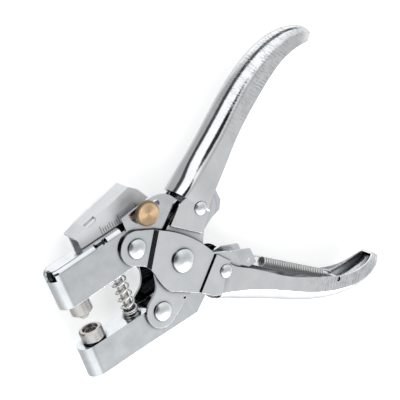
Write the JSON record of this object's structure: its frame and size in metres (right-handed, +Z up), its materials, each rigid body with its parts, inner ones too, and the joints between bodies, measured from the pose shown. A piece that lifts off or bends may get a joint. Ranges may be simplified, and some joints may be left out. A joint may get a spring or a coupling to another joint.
{
  "type": "parallel-jaw hand punch",
  "caption": "Chromed parallel-jaw hand punch with scissor levers, punch and die, guide post with spring, sliding scale gauge and brass thumbscrew.",
  "frame": {"origin": "middle of the overall box in X and Y, on the surface that the tool lies on", "axes": "+X from the jaw noses to the handle tips, +Y from the lower jaw to the upper jaw, +Z up across the thickness to the thumbscrew's side"},
  "size_m": [0.215, 0.1804, 0.029],
  "materials": {
    "chromed_lever": "bright chrome, lightly brushed",
    "chromed_handle": "bright chrome over a fine scratched texture",
    "chromed_jaw": "bright chrome",
    "chromed_gauge": "chrome with dark graduation marks",
    "rivet_steel": "plated rivet steel",
    "dark_steel": "plain steel",
    "turned_steel": "satin, fine turning marks",
    "spring_wire": "plated spring wire",
    "brass": "satin brass, faced and knurled"
  },
  "bodies": {
    "lower_lever": {"lower_lever_plate_near": "chromed_lever", "lower_lever_plate_far": "chromed_lever", "lower_handle": "chromed_handle", "pivot_rivet": "rivet_steel", "pivot_spacer": "dark_steel", "upper_jaw_rivet": "rivet_steel", "lower_slide_pin": "rivet_steel", "spring_anchor_pin": "rivet_steel"},
    "upper_lever": {"upper_lever_plate_near": "chromed_lever", "upper_lever_plate_far": "chromed_lever", "upper_handle": "chromed_handle", "lower_jaw_rivet": "rivet_steel", "upper_slide_pin": "rivet_steel"},
    "upper_jaw": {"upper_jaw": "chromed_jaw", "upper_jaw_sleeve": "dark_steel", "punch_carrier": "dark_steel", "punch": "turned_steel", "punch_nut": "turned_steel"},
    "lower_jaw": {"lower_jaw": "chromed_jaw", "lower_jaw_sleeve": "dark_steel", "die": "turned_steel", "die_nut": "turned_steel", "guide_post": "turned_steel", "spring_seat": "dark_steel", "jaw_spring": "spring_wire", "spring_hook_pin": "rivet_steel"},
    "gauge": {"gauge": "chromed_gauge", "gauge_nut": "dark_steel"},
    "thumbscrew": {"thumbscrew": "brass", "knob_washer": "dark_steel"},
    "return_spring": {"return_spring": "spring_wire", "return_spring_rear_eye": "spring_wire"},
    "spring_front": {"return_spring_front_eye": "spring_wire"}
  },
  "joints": [
    {"name": "lever_pivot", "type": "hinge", "parent": "lower_lever", "child": "upper_lever", "pos_m": [-0.03053, 0.00191, 0.0145], "axis": [0, 0, -1], "range_deg": [0, 24], "stiffness_Nm_per_rad": 1.2, "springref_deg": -20.05, "deforming": ["jaw_spring", "return_spring"]},
    {"name": "upper_jaw_pivot", "type": "hinge", "parent": "lower_lever", "child": "upper_jaw", "pos_m": [-0.05373, 0.02391, 0.0145], "axis": [0, 0, -1], "range_deg": [0, 13.01]},
    {"name": "lower_jaw_pivot", "type": "hinge", "parent": "upper_lever", "child": "lower_jaw", "pos_m": [-0.05373, -0.02009, 0.0145], "axis": [0, 0, 1], "range_deg": [0, 13.01]},
    {"name": "gauge_slide", "type": "slide", "parent": "upper_jaw", "child": "gauge", "axis": [0.9998, 0.0175, 0], "range_m": [-0.0048, 0.0085]},
    {"name": "thumbscrew_turn", "type": "hinge", "parent": "gauge", "child": "thumbscrew", "pos_m": [-0.04031, 0.04015, 0.0145], "axis": [0, 0, 1], "continuous": true},
    {"name": "return_spring_swing", "type": "hinge", "parent": "lower_lever", "child": "return_spring", "pos_m": [0.06597, -0.07359, 0.0145], "axis": [0, 0, 1], "range_deg": [0, 5.08]},
    {"name": "return_spring_stretch", "type": "slide", "parent": "return_spring", "child": "spring_front", "axis": [-0.7524, 0.6587, 0], "range_m": [0, 0.00663]}
  ],
  "couplings": [
    {"joint": "upper_jaw_pivot", "follows": "lever_pivot", "ratio": 0.54167},
    {"joint": "lower_jaw_pivot", "follows": "lever_pivot", "ratio": 0.54167},
    {"joint": "return_spring_swing", "follows": "lever_pivot", "ratio": 0.2113},
    {"joint": "return_spring_stretch", "follows": "lever_pivot", "m_per_rad": 0.0158}
  ]
}
